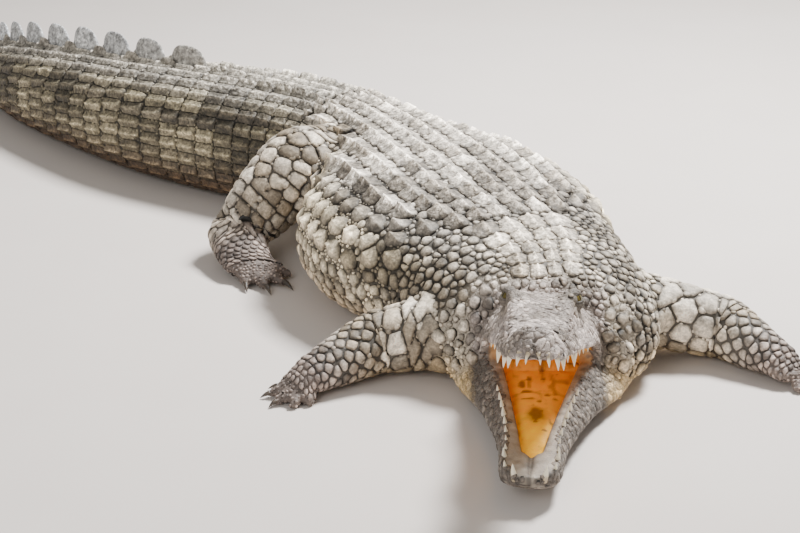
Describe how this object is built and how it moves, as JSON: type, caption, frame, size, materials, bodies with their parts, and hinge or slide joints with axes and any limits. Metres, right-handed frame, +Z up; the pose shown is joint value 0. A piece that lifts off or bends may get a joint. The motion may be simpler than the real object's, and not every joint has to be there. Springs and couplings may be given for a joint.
{
  "type": "crocodile",
  "caption": "Life-size still model of a stout Nile crocodile lying on its belly with its mouth agape, legs spread and tail swept to one side.",
  "frame": {"origin": "centre of the model's bounding box, at floor level", "axes": "+Z up; the snout points along -Y and a little to -X, the tail sweeps back and round to -X; the animal's left arm reaches to +X"},
  "size_m": [2.1315, 2.9482, 0.3452],
  "materials": {
    "hide": "dry, dusty horny scales over skin",
    "mouth_lining": "moist and smooth",
    "eye": "wet gloss",
    "claw_horn": "worn satin horn"
  },
  "bodies": {
    "root": {"neck": "hide", "trunk": "hide", "tail_base": "hide", "tail_middle": "hide", "tail_tip": "hide", "head": "hide", "lower_jaw": "hide", "tongue": "mouth_lining", "eye_left": "eye", "eye_right": "eye", "upper_arm_left": "hide", "forearm_left": "hide", "hand_left": "hide", "thigh_left": "hide", "shank_left": "hide", "foot_left": "hide", "claw_front_left_1": "claw_horn", "claw_front_left_2": "claw_horn", "claw_front_left_3": "claw_horn", "claw_hind_left_1": "claw_horn", "claw_hind_left_2": "claw_horn", "claw_hind_left_3": "claw_horn", "upper_arm_right": "hide", "forearm_right": "hide", "hand_right": "hide", "thigh_right": "hide", "shank_right": "hide", "foot_right": "hide", "claw_front_right_1": "claw_horn", "claw_front_right_2": "claw_horn", "claw_front_right_3": "claw_horn", "claw_hind_right_1": "claw_horn", "claw_hind_right_2": "claw_horn", "claw_hind_right_3": "claw_horn"}
  },
  "joints": []
}
